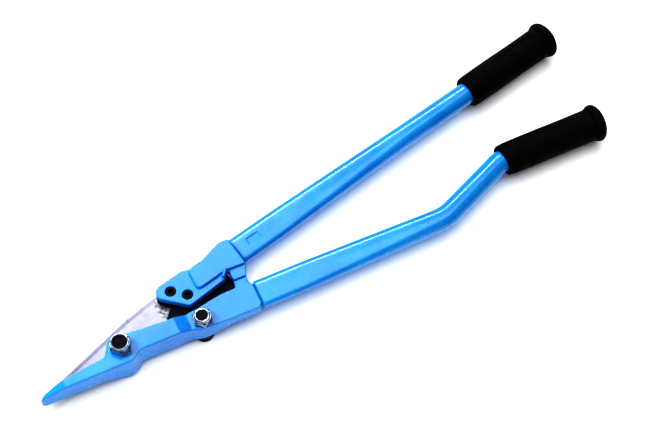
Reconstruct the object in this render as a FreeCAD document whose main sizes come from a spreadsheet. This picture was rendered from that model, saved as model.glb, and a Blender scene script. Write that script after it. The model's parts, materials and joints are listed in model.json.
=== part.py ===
import FreeCAD, Part
import math
import os
import Sketcher
from FreeCAD import Placement, Rotation, Vector

# Compound-lever shear for steel strap, lying on its side with the nuts up.
#
# Working frame: the blade pivot is the XY origin, +X runs along the lower handle towards the
# grips, +Y points away from the sole, +Z is the nut side, and Z = 0 is the front face of the jaw.
# At the end every sub-part is shifted so that the origin is at the bottom centre of the whole tool.

SIZES = [
    # pivots and layers through the thickness of the tool
    ("lever_pivot_x", 80.5, "lever pivot, along the arm from the blade pivot"),
    ("lever_pivot_y", -4.0, "lever pivot, across the arm"),
    ("jaw_depth", 28.0, "front face to back face of the jaw casting"),
    ("plate_front", -11.0, "front face of the drive plate"),
    ("plate_thick", 5.0, "drive plate"),
    ("blade_front", -16.3, "front face of the moving blade"),
    ("blade_thick", 5.0, "moving blade"),
    ("handle_level", -12.0, "centre plane of both handles"),
    # lower jaw casting
    ("sole_y", -17.5, "sole"),
    ("sole_back", -23.0, "back edge of the sole"),
    ("arm_bottom_y", -10.4, "underside of the arm"),
    ("slot_floor_y", -7.4, "floor of the clevis slot"),
    ("toe_x", -86.2, "tip of the toe"),
    ("front_wall", 10.7, "front wall of the clevis"),
    ("jaw_wall", 16.0, "front wall at the jaw, with the fixed blade in it"),
    ("back_wall_front", -22.4, "inner face of the back wall"),
    ("socket_front", -5.0, "front face of the arm behind the ramp"),
    ("socket_back", -18.5, "back face of the arm at the handle"),
    ("socket_end_x", 138.5, "shoulder where the lower tube starts"),
    ("pivot_boss", 13.5, "radius of the front boss round the blade pivot"),
    ("back_boss", 17.5, "radius of the back boss round the blade pivot"),
    ("back_boss_z", -33.0, "end of the back boss"),
    ("bolt_head_seat", -26.0, "floor of the counterbore in the back boss"),
    ("tang_length", 45.0, "tang inside each tube"),
    ("tang_wide", 23.4, "tang, across"),
    ("tang_thick", 9.4, "tang, through"),
    # upper lever
    ("handle_angle", 13.56, "upper handle to lower handle when closed"),
    ("head_front", -3.0, "front face of the head plate"),
    ("head_thick", 8.0, "head plate"),
    ("block_front", 1.0, "front face of the raised block"),
    ("joint_x", 137.0, "shoulder where the upper tube starts, on its axis"),
    ("joint_y", 49.9, "shoulder where the upper tube starts, on its axis"),
    ("plate_sweep", 33.9, "radius of the drive plate's round end about the lever pivot"),
    ("hub_radius", 7.5, "drive plate eye"),
    ("open_angle", 34.0, "travel of the upper handle"),
    ("cam_ratio", 0.33, "blade turn for each degree of handle turn"),
    ("pin_reach", 23.5, "drive pin from the lever pivot"),
    ("pin_angle", 131.0, "direction of the drive pin from the lever pivot when closed"),
    ("pin_diameter", 7.0, "drive pin"),
    ("slot_play", 0.11, "radial play of the drive pin in the cam slot"),
    # fasteners
    ("blade_bolt", 12.0, "M12 blade pivot bolt"),
    ("blade_bolt_head", 18.0, "its head"),
    ("blade_nut_flats", 19.0, "its lock nut, across flats"),
    ("blade_nut_tall", 12.0, "its lock nut, height"),
    ("lever_bolt", 10.0, "M10 lever pivot bolt"),
    ("lever_bolt_head", 19.0, "its wide head"),
    ("lever_nut_flats", 17.0, "its lock nut, across flats"),
    ("lever_nut_tall", 10.0, "its lock nut, height"),
    ("bolt_head_tall_big", 12.0, "M12 cap head"),
    ("bolt_head_tall_small", 10.0, "M10 cap head"),
    ("hole_play", 0.05, "radial play of a shaft in its bore"),
    ("bush_wall", 1.0, "wall of the bronze bushes"),
    ("plate_screw", 6.0, "M6 screws through the head"),
    ("plate_screw_head", 10.0, "their heads"),
    ("blade_screw", 3.0, "M3 countersunk screws of the fixed blade"),
    ("lock_pin", 4.0, "roll pins that hold the tubes"),
    # handles
    ("tube_diameter", 22.2, "round handle tube"),
    ("tube_wall", 1.8, "tube wall"),
    ("flat_wide", 28.4, "flattened tube end, across"),
    ("flat_thick", 13.6, "flattened tube end, through"),
    ("taper_length", 205.0, "from the tube's end to where it is round"),
    ("bend_start_x", 338.5, "first bend of the lower tube"),
    ("bend_end_x", 415.0, "second bend of the lower tube"),
    ("grip_offset", 33.5, "lower grip axis from the lower tube axis"),
    ("bend_radius", 50.0, "first bend, centre line"),
    ("grip_bend_radius", 26.0, "second bend, centre line"),
    ("lower_grip_x", 417.3, "mouth of the lower grip"),
    ("upper_grip_reach", 290.3, "mouth of the upper grip from the tube's end"),
    ("grip_length", 109.0, "grip, mouth to rim"),
    ("grip_diameter", 32.8, "grip"),
    ("grip_flange", 38.4, "flange at the end of the grip"),
]

BIG = 400.0
PARTS = []

os.makedirs("parts", exist_ok=True)
doc = FreeCAD.newDocument("metal_shear")
sheet = doc.addObject("Spreadsheet::Sheet", "Sizes")
for row, (alias, number, note) in enumerate(SIZES, start=1):
    sheet.set(f"A{row}", alias)
    sheet.set(f"B{row}", str(number))
    sheet.set(f"C{row}", note)
    sheet.setAlias(f"B{row}", alias)
doc.recompute()


def size(alias):
    return float(sheet.get(alias))


LEVER = Vector(size("lever_pivot_x"), size("lever_pivot_y"), 0)
JOINT = Vector(size("joint_x"), size("joint_y"), 0)
TILT = size("handle_angle")
PLATE_SCREWS = [Vector(63.8, 34.2, 0), Vector(77.3, 24.6, 0)]
BLADE_SCREWS = [Vector(-54.0, -10.7, 0), Vector(-30.0, -9.7, 0)]


def polar(centre, reach, degrees):
    angle = math.radians(degrees)
    return centre + Vector(reach * math.cos(angle), reach * math.sin(angle), 0)


def along_handle(reach, across=0.0):
    """A point at a distance along the upper handle axis from its shoulder, and across it."""
    return polar(polar(JOINT, reach, TILT), across, TILT + 90)


# ---------------------------------------------------------------- outlines and features


def outline(corners, arcs=None):
    """Closed outline of (x, y, radius) corners; arcs maps a side to the point it bows through."""
    arcs = arcs or {}
    count = len(corners)
    turns = []
    for index, (x, y, radius) in enumerate(corners):
        corner = Vector(x, y, 0)
        if not radius:
            turns.append((corner, corner, corner))
            continue
        before = (Vector(*corners[index - 1][:2], 0) - corner).normalize()
        after = (Vector(*corners[(index + 1) % count][:2], 0) - corner).normalize()
        half = before.getAngle(after) / 2
        setback = radius / math.tan(half)
        middle = corner + (before + after).normalize() * (radius / math.sin(half) - radius)
        turns.append((corner + before * setback, middle, corner + after * setback))
    sides = []
    for index, (start, middle, end) in enumerate(turns):
        if (end - start).Length > 0.001:
            sides.append(Part.Arc(start, middle, end))
        following = turns[(index + 1) % count][0]
        if index in arcs:
            sides.append(Part.Arc(end, Vector(*arcs[index], 0), following))
        else:
            sides.append(Part.LineSegment(end, following))
    return sides


def ring_slot(circle, ends, half_width):
    """Outline of a slot whose centre line follows a circle between the points nearest to two ends."""
    centre = circle.Center

    def on_circle(point, offset=0.0):
        return centre + (point - centre).normalize() * (circle.Radius + offset)

    start, end = (on_circle(point) for point in ends)
    middle = on_circle((start + end) / 2)
    sides = []
    for offset in (half_width, -half_width):
        sides.append(Part.Arc(*(on_circle(point, offset) for point in (start, middle, end))))
    for tip, inward in ((start, middle), (end, middle)):
        radial = (tip - centre).normalize()
        outward = Vector(-radial.y, radial.x, 0)
        if outward.dot(tip - inward) < 0:
            outward = outward * -1
        sides.append(Part.Arc(tip + radial * half_width, tip + outward * half_width,
                              tip - radial * half_width))
    return sides


def new_body(label):
    body = doc.addObject("PartDesign::Body", label)
    body.Label = label
    PARTS.append(body)
    return body


def draw(body, name, role, geometry, level=None, offset=None):
    """A sketch on one of the body's origin planes, at a level bound to the sheet."""
    sketch = body.newObject("Sketcher::SketchObject", name)
    plane = next(item for item in body.Origin.OriginFeatures if item.Role == role)
    sketch.AttachmentSupport = [(plane, "")]
    sketch.MapMode = "FlatFace"
    if offset:
        sketch.AttachmentOffset = offset
    if level:
        sketch.setExpression(".AttachmentOffset.Base.z", level)
    sketch.addGeometry(geometry, False)
    return sketch


def circle_sketch(body, name, centre, diameter, level):
    sketch = draw(body, name, "XY_Plane", [Part.Circle(centre, Vector(0, 0, 1), 1.0)], level)
    sketch.addConstraint(Sketcher.Constraint("Radius", 0, 1.0))
    sketch.setExpression("Constraints[0]", f"({diameter}) / 2")
    return sketch


def pad(body, sketch, length):
    feature = body.newObject("PartDesign::Pad", sketch.Name + "_pad")
    feature.Profile = sketch
    feature.setExpression("Length", length)
    doc.recompute()
    return feature


def pocket(body, sketch, length=None):
    """Cuts away from the sketch's normal, or all the way through both ways."""
    before = body.Shape.Volume
    feature = body.newObject("PartDesign::Pocket", sketch.Name + "_pocket")
    feature.Profile = sketch
    if length:
        feature.setExpression("Length", length)
    else:
        feature.Type = 1
        feature.Midplane = True
    doc.recompute()
    if body.Shape.Volume > before - 0.01:
        raise RuntimeError(f"{sketch.Name} cuts nothing")
    return feature


def soften(body, name, radius, wanted):
    """Fillets every edge of the body's tip that the test picks."""
    base = body.Tip
    names = [f"Edge{i}" for i, edge in enumerate(base.Shape.Edges, start=1) if wanted(edge)]
    feature = body.newObject("PartDesign::Fillet", name)
    feature.Base = (base, names)
    feature.Radius = radius
    doc.recompute()
    if feature.Shape.isNull() or not feature.Shape.isValid() or "Invalid" in feature.State:
        raise RuntimeError(f"{name} failed on {names}")
    return feature


def cylinder(name, centre, bottom, diameter, height):
    """An upright cylinder; bottom, diameter and height are sheet expressions."""
    rod = doc.addObject("Part::Cylinder", name)
    rod.Placement = Placement(centre, Rotation())
    rod.setExpression("Placement.Base.z", bottom)
    rod.setExpression("Radius", f"({diameter}) / 2")
    rod.setExpression("Height", height)
    return rod


def hexagon(name, centre, bottom, flats, height, turn=0.0):
    prism = doc.addObject("Part::Prism", name)
    prism.Polygon = 6
    prism.Placement = Placement(centre, Rotation(Vector(0, 0, 1), turn))
    prism.setExpression("Placement.Base.z", bottom)
    prism.setExpression("Circumradius", f"({flats}) / 2 / cos(30 deg)")
    prism.setExpression("Height", height)
    return prism


def boolean(kind, name, first, *others):
    """Part::Cut, Part::MultiFuse or Part::MultiCommon of document objects."""
    if kind == "Cut":
        result = first
        for index, tool in enumerate(others):
            cut = doc.addObject("Part::Cut", f"{name}_cut{index}" if index < len(others) - 1 else name)
            cut.Base = result
            cut.Tool = tool
            result = cut
        return result
    result = doc.addObject(f"Part::Multi{kind}", name)
    result.Shapes = [first, *others]
    return result


def finish(feature, label):
    feature.Label = label
    PARTS.append(feature)
    return feature


# ---------------------------------------------------------------- lower jaw and its blade


def jaw_profile():
    """Side view of the casting: toe, foot, pivot boss, arm, closing lug, shoulder, heel and sole."""
    sole = size("sole_y")
    bottom = size("arm_bottom_y")
    end = size("socket_end_x")
    boss = size("pivot_boss")
    origin = Vector(0, 0, 0)
    boss_right = polar(origin, boss, 55)
    boss_left = polar(origin, boss, 148)
    boss_top = polar(origin, boss, 102)
    corners = [
        (size("toe_x"), sole, 0.9),
        (5.0, sole, 9.0),
        (15.5, bottom, 7.0),
        (68.0, bottom, 12.0),
        (77.0, sole + 4.2, 14.0),
        (104.0, sole + 2.9, 20.0),
        (135.0, sole + 2.6, 1.2),
        (end, -10.6, 1.6),
        (end, 9.6, 3.0),
        (135.6, 13.4, 1.0),
        (135.6, 20.3, 1.5),
        (122.6, 20.3, 1.5),
        (121.6, 13.3, 2.0),
        (106.0, 13.1, 14.0),
        (84.0, 9.4, 12.0),
        (67.0, 7.1, 12.0),
        (46.0, 7.4, 14.0),
        (22.0, 9.1, 10.0),
        (boss_right.x, boss_right.y, 0),
        (boss_left.x, boss_left.y, 0),
        (-17.4, -3.9, 4.0),
        (-61.0, -8.6, 0),
        (-72.0, -10.7, 6.0),
        (-79.5, -12.9, 5.0),
        (size("toe_x"), sole + 2.3, 1.2),
    ]
    return outline(corners, {18: (boss_top.x, boss_top.y)})


def lower_jaw():
    body = new_body("lower_jaw")
    pad(body, draw(body, "jaw_side", "XY_Plane", jaw_profile(), "-Sizes.jaw_depth"), "Sizes.jaw_depth")
    pad(body, circle_sketch(body, "back_boss", Vector(0, 0, 0), "2 * Sizes.back_boss", "Sizes.back_boss_z"),
        "-Sizes.jaw_depth - Sizes.back_boss_z")

    # ramp down to the thinner socket part in front, and the slope behind it
    socket = size("socket_front")
    front = outline([(55.6, 0, 0), (67.6, socket, 0), (BIG, socket, 0), (BIG, 20, 0), (55.6, 20, 0)])
    pocket(body, draw(body, "ramp", "XZ_Plane", front))
    depth = -size("jaw_depth")
    thin = size("socket_back")
    behind = outline([(83, depth, 0), (108, thin, 0), (BIG, thin, 0), (BIG, -60, 0), (83, -60, 0)])
    pocket(body, draw(body, "back_slope", "XZ_Plane", behind))
    edge = size("sole_back")
    foot = outline([(-16.0, depth, 0), (-22.0, edge, 0), (-BIG, edge, 0), (-BIG, -60, 0), (-16.0, -60, 0)])
    pocket(body, draw(body, "foot_back", "XZ_Plane", foot))

    # toe: the front face tapers towards the tip
    taper = outline([(-62, 0, 0), (-92, -8.3, 0), (-92, 20, 0), (-62, 20, 0)])
    pocket(body, draw(body, "toe_taper", "XZ_Plane", taper))

    # foot: room for both blades behind the front wall, above the sole
    room = outline([(-BIG, -13.6, 0), (-16.5, -13.6, 0), (-16.5, 60, 0), (-BIG, 60, 0)])
    pocket(body, draw(body, "blade_room", "XY_Plane", room, "-Sizes.front_wall"), "80")

    # clevis: a deep slot for the moving blade, and a wider one for the drive plate
    floor = size("slot_floor_y")
    hub_room = 13.7
    hub_side = math.sqrt(hub_room ** 2 - floor ** 2)
    blade_slot = outline([(-40, -13.65, 0), (-1.0, -13.65, 0), (hub_side, floor, 0), (86, floor, 3),
                          (86, 60, 0), (-40, 60, 0)], {1: (hub_room * 0.6, -hub_room * 0.8)})
    pocket(body, draw(body, "blade_slot", "XY_Plane", blade_slot, "-Sizes.jaw_wall"),
           "-Sizes.jaw_wall - Sizes.back_wall_front")
    eye_room = size("hub_radius") + 0.4
    eye_left = polar(LEVER, eye_room, 180 + math.degrees(math.asin((LEVER.y - floor) / eye_room)))
    eye_right = polar(LEVER, eye_room, -38)
    eye_low = polar(LEVER, eye_room, -90)
    plate_slot = outline([(44.5, floor, 3), (eye_left.x, eye_left.y, 0), (eye_right.x, eye_right.y, 0),
                          (124.0, 10.0, 6), (124.0, 60, 0), (44.5, 60, 0)], {1: (eye_low.x, eye_low.y)})
    pocket(body, draw(body, "plate_slot", "XY_Plane", plate_slot, "-Sizes.front_wall"),
           "Sizes.jaw_wall - Sizes.front_wall + 0.3")

    spacer_room = size("lever_bolt") / 2 + 2.0
    pocket(body, circle_sketch(body, "spacer_room", LEVER, f"{2 * spacer_room}", "-Sizes.jaw_wall"),
           "-Sizes.jaw_wall - Sizes.back_wall_front")

    # pivot bores, the counterbore at the back and the tapped holes for the fixed blade
    play = "2 * Sizes.hole_play"
    pocket(body, circle_sketch(body, "blade_bore", Vector(0, 0, 0), f"Sizes.blade_bolt + {play}", "0"))
    pocket(body, circle_sketch(body, "head_recess", Vector(0, 0, 0), "Sizes.blade_bolt_head + 1.2",
                               "Sizes.bolt_head_seat"), "60")
    pocket(body, circle_sketch(body, "lever_bore", LEVER, f"Sizes.lever_bolt + {play}", "0"))
    holes = draw(body, "blade_screw_holes", "XY_Plane",
                 [Part.Circle(p, Vector(0, 0, 1), size("blade_screw") / 2) for p in BLADE_SCREWS], "-4")
    pocket(body, holes, "40")

    # tang that the lower tube slides over, with its lock pin hole
    middle = Placement(Vector(0, size("handle_level"), size("socket_end_x") - 2), Rotation())
    ellipse = Part.Ellipse(Vector(0, 0, 0), size("tang_wide") / 2, size("tang_thick") / 2)
    pad(body, draw(body, "tang", "YZ_Plane", [ellipse], offset=middle), "Sizes.tang_length + 2")
    pin_at = Vector(size("socket_end_x") + 25, 0, 0)
    pocket(body, circle_sketch(body, "lock_pin_hole", pin_at, "Sizes.lock_pin", "0"))

    def cast_edge(edge):
        """Outer edges of the front face, and of the socket's front face, that a casting rounds."""
        low, high = edge.BoundBox.ZMin, edge.BoundBox.ZMax
        flat = high - low < 0.01 and (abs(high) < 0.01 or abs(high - socket) < 0.01)
        bore = edge.Curve.TypeId == "Part::GeomCircle" and edge.Curve.Radius < 8
        return flat and not bore and edge.BoundBox.XMax < 139 and edge.BoundBox.XMin > -57.5

    doc.recompute()
    soften(body, "cast_rounding", 0.9, cast_edge)
    return body


def fixed_blade():
    body = new_body("fixed_blade")
    strip = outline([(-79.5, -13.6, 0), (-16.6, -13.6, 0), (-16.6, -4.0, 0), (-18.0, -4.1, 0),
                     (-61.0, -8.55, 0), (-72.0, -10.6, 0), (-79.5, -12.4, 0)])
    pad(body, draw(body, "strip", "XY_Plane", strip, "-Sizes.jaw_wall"), "Sizes.jaw_wall - Sizes.front_wall")
    for index, place in enumerate(BLADE_SCREWS):
        pocket(body, circle_sketch(body, f"screw_hole{index}", place, "Sizes.blade_screw + 0.2", "0"))
        sink = cone_cutter(body, f"countersink{index}", place)
        doc.recompute()
        if sink.Shape.isNull():
            raise RuntimeError("countersink failed")
    return body


def cone_cutter(body, name, place):
    """Countersink for a flat head, open at the back face of the fixed blade."""
    cone = body.newObject("PartDesign::SubtractiveCone", name)
    plane = next(item for item in body.Origin.OriginFeatures if item.Role == "XY_Plane")
    cone.AttachmentSupport = [(plane, "")]
    cone.MapMode = "FlatFace"
    cone.AttachmentOffset = Placement(place + Vector(0, 0, -size("jaw_wall")), Rotation())
    cone.setExpression("Radius1", "Sizes.blade_screw * 0.9")
    cone.setExpression("Radius2", "Sizes.blade_screw * 0.56")
    cone.setExpression("Height", "Sizes.blade_screw * 0.45")
    return cone


def fixed_blade_screws():
    solids = []
    for index, place in enumerate(BLADE_SCREWS):
        head = doc.addObject("Part::Cone", f"blade_screw_head{index}")
        head.Placement = Placement(place, Rotation())
        head.setExpression("Placement.Base.z", "-Sizes.jaw_wall + 0.1")
        head.setExpression("Radius1", "Sizes.blade_screw * 0.86")
        head.setExpression("Radius2", "Sizes.blade_screw * 0.5")
        head.setExpression("Height", "Sizes.blade_screw * 0.45")
        shank = cylinder(f"blade_screw_shank{index}", place, "-Sizes.jaw_wall + 0.1", "Sizes.blade_screw",
                         "Sizes.jaw_wall - 5")
        whole = boolean("Fuse", f"blade_screw{index}", head, shank)
        recess = hexagon(f"blade_screw_key{index}", place, "-Sizes.jaw_wall", "2", "1.2")
        solids.append(boolean("Cut", f"blade_screw_keyed{index}", whole, recess))
    group = doc.addObject("Part::Compound", "fixed_blade_screws")
    group.Links = solids
    return finish(group, "fixed_blade_screws")


# ---------------------------------------------------------------- moving blade


def cam_path(share):
    """Where the drive pin sits in the blade's own frame after a share of the travel."""
    turn = size("open_angle") * share
    pin = polar(LEVER, size("pin_reach"), size("pin_angle") + turn)
    back = math.radians(size("cam_ratio") * turn)
    return Vector(pin.x * math.cos(back) - pin.y * math.sin(back),
                  pin.x * math.sin(back) + pin.y * math.cos(back), 0)


def moving_blade():
    body = new_body("moving_blade")
    hub = 13.0
    blade_open = math.radians(size("cam_ratio") * size("open_angle"))
    clear_floor = size("slot_floor_y") + 0.4
    hub_low = polar(Vector(0, 0, 0), hub, -21)
    hub_left = polar(Vector(0, 0, 0), hub, -150)
    hub_bottom = polar(Vector(0, 0, 0), hub, -90)

    def tang_low(x):
        """The tang's underside lies along the slot floor when the blade is fully open."""
        return (clear_floor + x * math.sin(blade_open)) / math.cos(blade_open)

    corners = [
        (-80.0, -9.3, 0),
        (-79.0, -12.9, 0),
        (-24.0, -7.6, 0),
        (hub_left.x, hub_left.y, 0),
        (hub_low.x, hub_low.y, 0),
        (71.5, tang_low(71.5), 7.0),
        (71.5, 24.0, 8.0),
        (62.0, 45.5, 0),
        (16.0, 30.9, 30.0),
    ]
    side = outline(corners, {3: (hub_bottom.x, hub_bottom.y)})
    pad(body, draw(body, "blade_side", "XY_Plane", side, "Sizes.blade_front - Sizes.blade_thick"),
        "Sizes.blade_thick")
    front = size("blade_front")

    def back_edge(edge):
        """The ground back of the blade, on its front face."""
        middle = edge.CenterOfMass
        return abs(middle.z - front) < 0.01 and middle.y - 0.36 * middle.x > 19

    names = [f"Edge{i}" for i, edge in enumerate(body.Tip.Shape.Edges, start=1) if back_edge(edge)]
    chamfer = body.newObject("PartDesign::Chamfer", "ground_back")
    chamfer.Base = (body.Group[-2], names)
    chamfer.ChamferType = 1
    chamfer.Size = 1.6
    chamfer.Size2 = 4.5
    doc.recompute()
    bore = "Sizes.blade_bolt + 2 * Sizes.hole_play + 2 * Sizes.bush_wall"
    pocket(body, circle_sketch(body, "bush_bore", Vector(0, 0, 0), bore, "0"))
    half_width = size("pin_diameter") / 2 + size("slot_play")
    nearest = Part.Arc(cam_path(0.06), cam_path(0.5), cam_path(0.94)).toShape().Curve
    slot = ring_slot(nearest, (cam_path(0), cam_path(1)), half_width)
    pocket(body, draw(body, "cam_slot", "XY_Plane", slot))
    step = Part.Circle(Vector(69.5, 28.0, 0), Vector(0, 0, 1), 24.0)
    pocket(body, draw(body, "milled_step", "XY_Plane", [step], "Sizes.blade_front"), "0.8")
    return body


def blade_bush():
    outer = cylinder("blade_bush_outer", Vector(), "Sizes.blade_front - Sizes.blade_thick",
                     "Sizes.blade_bolt + 2 * Sizes.hole_play + 2 * Sizes.bush_wall", "Sizes.blade_thick")
    bore = cylinder("blade_bush_bore", Vector(), "-60", "Sizes.blade_bolt + 2 * Sizes.hole_play", "80")
    return finish(boolean("Cut", "blade_bush", outer, bore), "blade_bush")


# ---------------------------------------------------------------- bolts, nuts and washers


def cap_bolt(label, centre, seat, shank, head, head_tall, tip, key):
    """Socket cap screw with its head at the back; seat and tip are levels."""
    rod = cylinder(label + "_rod", centre, f"{seat} - 1", shank, f"{tip} - {seat} + 1")
    cap = cylinder(label + "_cap", centre, f"{seat} - {head_tall}", head, head_tall)
    whole = boolean("Fuse", label + "_whole", rod, cap)
    socket = hexagon(label + "_socket", centre, f"{seat} - {head_tall}", key, f"{head_tall} / 2")
    keyed = boolean("Cut", label + "_keyed", whole, socket)
    doc.recompute()
    return finish(rounded(label, keyed, rim_edges(keyed.Shape, size_of(head) / 2, size_of(shank) / 2)), label)


def size_of(expression):
    return size(expression.split(".")[1])


def rim_edges(shape, *radii):
    """Numbers of the round edges with one of these radii at the two ends of the shape."""
    found = []
    for number, edge in enumerate(shape.Edges, start=1):
        if edge.Curve.TypeId != "Part::GeomCircle":
            continue
        level = edge.BoundBox.ZMin
        at_end = min(abs(level - shape.BoundBox.ZMin), abs(level - shape.BoundBox.ZMax)) < 0.05
        if at_end and any(abs(edge.Curve.Radius - radius) < 0.01 for radius in radii):
            found.append(number)
    return found


def rounded(name, base, numbers, radius=0.8):
    fillet = doc.addObject("Part::Fillet", name)
    fillet.Base = base
    fillet.Edges = [(number, radius, radius) for number in numbers]
    return fillet


def lock_nut(label, centre, seat, flats, tall, bolt, insert_wall, turn, crown):
    """Nylon-insert nut: chamfered hexagon, round crown and a recess that holds the insert."""
    prism = hexagon(label + "_hexagon", centre, seat, flats, f"{tall} * 0.74", turn)
    cone = doc.addObject("Part::Cone", label + "_bevel")
    cone.Placement = Placement(centre, Rotation())
    cone.setExpression("Placement.Base.z", seat)
    cone.setExpression("Height", f"{tall} * 0.74")
    cone.setExpression("Radius1", f"{flats} / 2 + {tall} * 0.74 * 1.2")
    cone.setExpression("Radius2", f"{flats} / 2 * 0.98")
    hexed = boolean("Common", label + "_bevelled", prism, cone)
    collar = cylinder(label + "_crown", centre, seat, f"{flats} * 0.93", tall)
    whole = boolean("Fuse", label + "_whole", hexed, collar)
    bore = cylinder(label + "_bore", centre, f"{seat} - 1", bolt, f"{tall} + 2")
    recess = cylinder(label + "_recess", centre, f"{seat} + {tall} * 0.72", f"{bolt} + 2 * {insert_wall}",
                      tall)
    cut = boolean("Cut", label + "_cut", whole, bore, recess)
    doc.recompute()
    finish(rounded(label, cut, rim_edges(cut.Shape, size_of(flats) * 0.465), crown), label)
    ring = cylinder(label + "_insert_ring", centre, f"{seat} + {tall} * 0.72", f"{bolt} + 2 * {insert_wall}",
                    f"{tall} * 0.25")
    hole = cylinder(label + "_insert_hole", centre, f"{seat}", bolt, f"{tall} + 2")
    finish(boolean("Cut", label + "_insert", ring, hole), label + "_insert")


def pivots():
    cap_bolt("blade_pivot_bolt", Vector(), "Sizes.bolt_head_seat", "Sizes.blade_bolt",
             "Sizes.blade_bolt_head", "Sizes.bolt_head_tall_big", "Sizes.blade_nut_tall * 0.93", "10")
    lock_nut("blade_pivot_nut", Vector(), "0", "Sizes.blade_nut_flats", "Sizes.blade_nut_tall",
             "Sizes.blade_bolt", "1.7", 12, 0.9)
    cap_bolt("lever_pivot_bolt", LEVER, "-Sizes.jaw_depth", "Sizes.lever_bolt", "Sizes.lever_bolt_head",
             "Sizes.bolt_head_tall_small", "(Sizes.socket_front + Sizes.lever_nut_tall * 0.93)", "8")
    lock_nut("lever_pivot_nut", LEVER, "Sizes.socket_front", "Sizes.lever_nut_flats", "Sizes.lever_nut_tall",
             "Sizes.lever_bolt", "0.9", 25, 1.5)
    washer = cylinder("thrust_outer", Vector(), "Sizes.back_wall_front", "2 * 11",
                      "Sizes.blade_front - Sizes.blade_thick - Sizes.back_wall_front - 0.1")
    hole = cylinder("thrust_hole", Vector(), "-60", "Sizes.blade_bolt + 2 * Sizes.hole_play", "80")
    finish(boolean("Cut", "blade_thrust_washer", washer, hole), "blade_thrust_washer")
    spacer = cylinder("spacer_outer", LEVER, "Sizes.back_wall_front", "Sizes.lever_bolt + 3",
                      "Sizes.plate_front - Sizes.plate_thick - Sizes.back_wall_front - 0.1")
    hole = cylinder("spacer_hole", LEVER, "-60", "Sizes.lever_bolt + 2 * Sizes.hole_play", "80")
    finish(boolean("Cut", "lever_pivot_spacer", spacer, hole), "lever_pivot_spacer")


# ---------------------------------------------------------------- upper lever


def head_top(inset=0.0):
    """Upper outline of the head, from the shoulder back towards its round nose."""
    high = along_handle(0, 13.0 - inset)
    return [(high.x, high.y, 2.5), (124.5, 62.0 - inset, 4.0), (112.5, 56.6 - inset, 5.0),
            (103.5, 51.6 - inset, 5.0)]


def upper_head():
    body = new_body("upper_head")
    low = along_handle(0, -15.0)
    plate = outline([(40.4, 39.95, 7.7), (75.1, 13.3, 6.0), (116.6, 25.3, 2.0), (119.6, 32.0, 1.0),
                     (122.7, 31.0, 0.5), (122.9, 20.65, 1.5), (135.8, 20.65, 1.5), (low.x, low.y - 3, 2.0),
                     *head_top(), (90.5, 48.4, 8.0), (80.0, 49.8, 8.0)])
    pad(body, draw(body, "head_plate", "XY_Plane", plate, "Sizes.head_front - Sizes.head_thick"),
        "Sizes.head_thick")
    block = outline([(87.6, 23.9, 4.0), (118.8, 31.7, 2.0), (low.x - 0.4, 31.2, 2.0), *head_top(0.8),
                     (92.0, 48.4, 3.0), (86.4, 46.0, 5.0)])
    pad(body, draw(body, "head_block", "XY_Plane", block, "Sizes.head_front"),
        "Sizes.block_front - Sizes.head_front")
    socket = outline([(117.0, 40.0, 3.0), (126.0, 33.0, 3.0), (low.x, low.y, 2.0),
                      (along_handle(0, 13.0).x, along_handle(0, 13.0).y, 2.0), (124.5, 62.0, 4.0),
                      (117.0, 58.7, 3.0)])
    pad(body, draw(body, "head_socket", "XY_Plane", socket, "Sizes.socket_back"),
        "Sizes.head_front - Sizes.socket_back")
    for index, place in enumerate(PLATE_SCREWS):
        pocket(body, circle_sketch(body, f"plate_screw_hole{index}", place, "Sizes.plate_screw + 0.4",
                                   "0"))
        pocket(body, circle_sketch(body, f"plate_screw_seat{index}", place, "Sizes.plate_screw_head + 0.5",
                                   "Sizes.head_front"), "Sizes.plate_screw + 0.6")
    place = Placement(Vector(JOINT.y, size("handle_level"), JOINT.x), Rotation(Vector(0, 1, 0), TILT))
    place = place.multiply(Placement(Vector(0, 0, -2), Rotation()))
    ellipse = Part.Ellipse(Vector(0, 0, 0), size("tang_wide") / 2, size("tang_thick") / 2)
    pad(body, draw(body, "upper_tang", "YZ_Plane", [ellipse], offset=place), "Sizes.tang_length + 2")
    pocket(body, circle_sketch(body, "upper_lock_pin_hole", along_handle(36), "Sizes.lock_pin", "0"))

    def block_edge(edge):
        """The rim of the raised block's front face."""
        low, high = edge.BoundBox.ZMin, edge.BoundBox.ZMax
        return high - low < 0.01 and abs(high - size("block_front")) < 0.01

    soften(body, "block_rounding", 1.0, block_edge)
    rib = outline([(119.0, 33.9, 0.4), (120.9, 32.5, 0.4), (115.5, 25.6, 0.4), (113.6, 27.0, 0.4)])
    pad(body, draw(body, "head_rib", "XY_Plane", rib, "Sizes.head_front"),
        "Sizes.block_front - Sizes.head_front + 0.8")
    return body


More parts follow.
